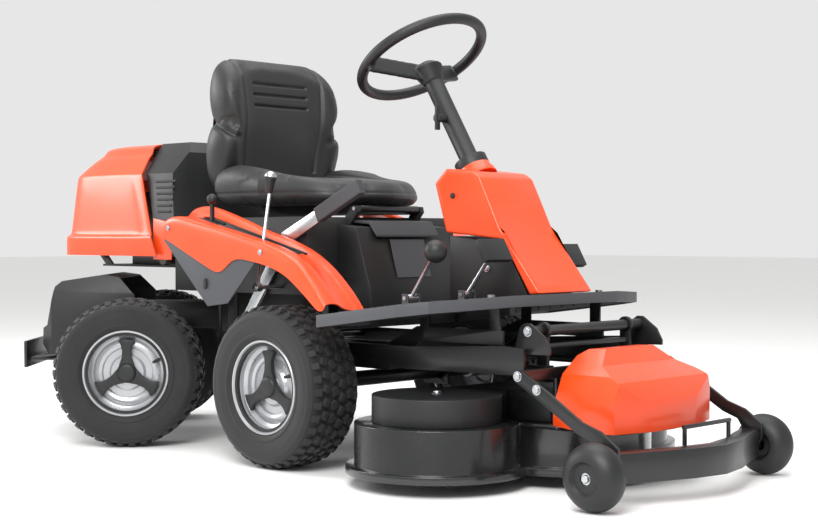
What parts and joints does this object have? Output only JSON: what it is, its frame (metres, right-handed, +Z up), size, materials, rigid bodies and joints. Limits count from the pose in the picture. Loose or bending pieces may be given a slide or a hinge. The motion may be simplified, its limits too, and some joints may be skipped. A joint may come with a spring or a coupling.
{
  "type": "riding lawn mower",
  "caption": "Articulated ride-on mower with an out-front three-blade deck, rear engine under a hood, high-back seat and centre-pivot rear steering.",
  "frame": {"origin": "centre of the whole machine's footprint, on the ground under the tyres", "axes": "+X forward towards the cutting deck, +Y to the machine's left, +Z up"},
  "size_m": [2.2408, 1.0894, 1.1285],
  "materials": {
    "orange_plastic": "satin moulded",
    "black_plastic": "fine moulded texture",
    "dark_grey_plastic": "fine moulded texture",
    "black_painted_steel": "satin powder coat",
    "rim_silver": "silver grey lacquer",
    "tyre_rubber": "matt rubber",
    "zinc_steel": "zinc plated",
    "grip_rubber": "ribbed",
    "cast_aluminium": "as cast",
    "ballast_iron": "as cast",
    "black_vinyl": "grained vinyl"
  },
  "bodies": {
    "chassis": {"main_frame": "black_painted_steel", "front_axle": "black_painted_steel", "frame_fasteners": "zinc_steel", "footplate": "black_plastic", "fender_right": "orange_plastic", "fender_left": "orange_plastic", "fender_skirts": "dark_grey_plastic", "seat_plinth": "black_plastic", "floor_console": "black_plastic", "steering_cowl": "orange_plastic", "column_tube": "black_plastic", "engine": "cast_aluminium", "muffler": "black_painted_steel", "fuel_tank": "black_plastic", "battery": "black_plastic", "engine_surround": "black_plastic"},
    "rear_carriage": {"rear_frame": "black_painted_steel", "transaxle": "cast_aluminium", "counterweight": "ballast_iron", "weight_cover": "black_plastic", "tow_bar": "black_painted_steel"},
    "steering": {"steering_wheel": "black_plastic", "steering_shaft": "zinc_steel"},
    "hood": {"hood_shell": "orange_plastic", "hood_grille": "black_plastic"},
    "seat_base": {"seat_plate": "black_painted_steel"},
    "seat": {"seat_cushion": "black_vinyl", "seat_back": "black_vinyl"},
    "lift_control": {"lift_lever": "zinc_steel", "lift_grip": "grip_rubber"},
    "height_control": {"height_lever": "zinc_steel"},
    "throttle_control": {"throttle_lever": "black_plastic"},
    "forward_control": {"forward_pedal": "zinc_steel"},
    "reverse_control": {"reverse_pedal": "zinc_steel"},
    "brake_control": {"brake_pedal": "zinc_steel"},
    "column_clamp": {"tilt_knob": "black_plastic"},
    "lift_frame": {"equipment_frame": "black_painted_steel"},
    "service_hinge": {"service_arms": "black_painted_steel"},
    "carrier": {"deck_carrier": "black_painted_steel", "bumper": "black_painted_steel"},
    "deck": {"deck_shell": "black_painted_steel", "belt_cover": "black_plastic", "deck_cover": "orange_plastic"},
    "front_wheel_right": {"front_right_tyre": "tyre_rubber", "front_right_rim": "rim_silver", "front_right_trim": "black_plastic"},
    "front_wheel_left": {"front_left_tyre": "tyre_rubber", "front_left_rim": "rim_silver", "front_left_trim": "black_plastic"},
    "rear_wheel_right": {"rear_right_tyre": "tyre_rubber", "rear_right_rim": "rim_silver", "rear_right_trim": "black_plastic"},
    "rear_wheel_left": {"rear_left_tyre": "tyre_rubber", "rear_left_rim": "rim_silver", "rear_left_trim": "black_plastic"},
    "cutter_centre": {"blade_centre": "zinc_steel"},
    "cutter_right": {"blade_right": "zinc_steel"},
    "cutter_left": {"blade_left": "zinc_steel"},
    "gauge_right": {"gauge_wheel_right": "black_plastic"},
    "gauge_left": {"gauge_wheel_left": "black_plastic"}
  },
  "joints": [
    {"name": "articulation", "type": "hinge", "parent": "chassis", "child": "rear_carriage", "pos_m": [-0.53961, 0.03466, 0.3], "axis": [0, 0, 1], "range_deg": [-88.8, 1.2]},
    {"name": "front_wheel_right_spin", "type": "hinge", "parent": "chassis", "child": "front_wheel_right", "pos_m": [0.09039, -0.33234, 0.2], "axis": [0, 1, 0], "continuous": true},
    {"name": "front_wheel_left_spin", "type": "hinge", "parent": "chassis", "child": "front_wheel_left", "pos_m": [0.09039, 0.40166, 0.2], "axis": [0, 1, 0], "continuous": true},
    {"name": "rear_wheel_right_spin", "type": "hinge", "parent": "rear_carriage", "child": "rear_wheel_right", "pos_m": [-0.50545, -0.36071, 0.2], "axis": [-0.6921, 0.7218, 0], "continuous": true},
    {"name": "rear_wheel_left_spin", "type": "hinge", "parent": "rear_carriage", "child": "rear_wheel_left", "pos_m": [-0.9332, 0.08534, 0.2], "axis": [-0.6921, 0.7218, 0], "continuous": true},
    {"name": "steering_turn", "type": "hinge", "parent": "chassis", "child": "steering", "pos_m": [0.21539, 0.03466, 1.028], "axis": [-0.521, 0, 0.8536], "range_deg": [-14, 900]},
    {"name": "hood_hinge", "type": "hinge", "parent": "chassis", "child": "hood", "pos_m": [-0.98961, 0.03466, 0.53], "axis": [0, -1, 0], "range_deg": [0, 70]},
    {"name": "seat_tilt", "type": "hinge", "parent": "chassis", "child": "seat_base", "pos_m": [0.09539, 0.03466, 0.64], "axis": [0, 1, 0], "range_deg": [0, 50]},
    {"name": "seat_slide", "type": "slide", "parent": "seat_base", "child": "seat", "axis": [1, 0, 0], "range_m": [-0.05, 0.03]},
    {"name": "equipment_lift", "type": "hinge", "parent": "chassis", "child": "lift_frame", "pos_m": [0.18039, 0.03466, 0.29], "axis": [0, -1, 0], "range_deg": [0, 9]},
    {"name": "lift_lever_pull", "type": "hinge", "parent": "chassis", "child": "lift_control", "pos_m": [-0.18961, -0.25284, 0.29], "axis": [0, -1, 0], "range_deg": [0, 25]},
    {"name": "service_fold", "type": "hinge", "parent": "lift_frame", "child": "service_hinge", "pos_m": [0.74039, 0.03466, 0.355], "axis": [0, -1, 0], "range_deg": [0, 80]},
    {"name": "deck_pull_out", "type": "slide", "parent": "service_hinge", "child": "carrier", "axis": [1, 0, 0], "range_m": [0, 0.33]},
    {"name": "cutting_height", "type": "slide", "parent": "carrier", "child": "deck", "axis": [0, 0, 1], "range_m": [-0.02, 0.03]},
    {"name": "height_lever_turn", "type": "hinge", "parent": "chassis", "child": "height_control", "pos_m": [-0.01461, -0.32534, 0.44], "axis": [0, 1, 0], "range_deg": [-30, 45]},
    {"name": "cutter_centre_spin", "type": "hinge", "parent": "deck", "child": "cutter_centre", "pos_m": [0.69539, 0.03466, 0.1], "axis": [0, 0, 1], "continuous": true},
    {"name": "cutter_right_spin", "type": "hinge", "parent": "deck", "child": "cutter_right", "pos_m": [0.54039, -0.26534, 0.1], "axis": [0, 0, 1], "continuous": true},
    {"name": "cutter_left_spin", "type": "hinge", "parent": "deck", "child": "cutter_left", "pos_m": [0.54039, 0.33466, 0.1], "axis": [0, 0, 1], "continuous": true},
    {"name": "gauge_wheel_right_spin", "type": "hinge", "parent": "carrier", "child": "gauge_right", "pos_m": [1.01589, -0.30634, 0.073], "axis": [0, 1, 0], "continuous": true},
    {"name": "gauge_wheel_left_spin", "type": "hinge", "parent": "carrier", "child": "gauge_left", "pos_m": [1.01589, 0.37566, 0.073], "axis": [0, 1, 0], "continuous": true},
    {"name": "throttle_turn", "type": "hinge", "parent": "chassis", "child": "throttle_control", "pos_m": [-0.19461, -0.32534, 0.597], "axis": [0, 1, 0], "range_deg": [-25, 25]},
    {"name": "forward_press", "type": "hinge", "parent": "chassis", "child": "forward_control", "pos_m": [0.52039, -0.13734, 0.432], "axis": [0, 1, 0], "range_deg": [0, 16], "stiffness_Nm_per_rad": 6, "springref_deg": -11.46},
    {"name": "reverse_press", "type": "hinge", "parent": "chassis", "child": "reverse_control", "pos_m": [0.44239, -0.24734, 0.424], "axis": [0, 1, 0], "range_deg": [0, 16], "stiffness_Nm_per_rad": 6, "springref_deg": -11.46},
    {"name": "brake_press", "type": "hinge", "parent": "chassis", "child": "brake_control", "pos_m": [0.49039, 0.20666, 0.428], "axis": [0, 1, 0], "range_deg": [0, 16], "stiffness_Nm_per_rad": 8, "springref_deg": -11.46},
    {"name": "column_clamp_turn", "type": "hinge", "parent": "chassis", "child": "column_clamp", "pos_m": [0.31639, 0.00466, 0.86582], "axis": [0, 1, 0], "range_deg": [0, 90]}
  ],
  "couplings": [
    {"joint": "steering_turn", "follows": "articulation", "ratio": -10},
    {"joint": "lift_lever_pull", "follows": "equipment_lift", "ratio": 2.77},
    {"joint": "deck_pull_out", "follows": "service_fold", "m_per_rad": 0.2363},
    {"joint": "height_lever_turn", "follows": "cutting_height", "rad_per_m": 26.1},
    {"joint": "cutter_right_spin", "follows": "cutter_centre_spin", "ratio": 1},
    {"joint": "cutter_left_spin", "follows": "cutter_centre_spin", "ratio": 1}
  ]
}
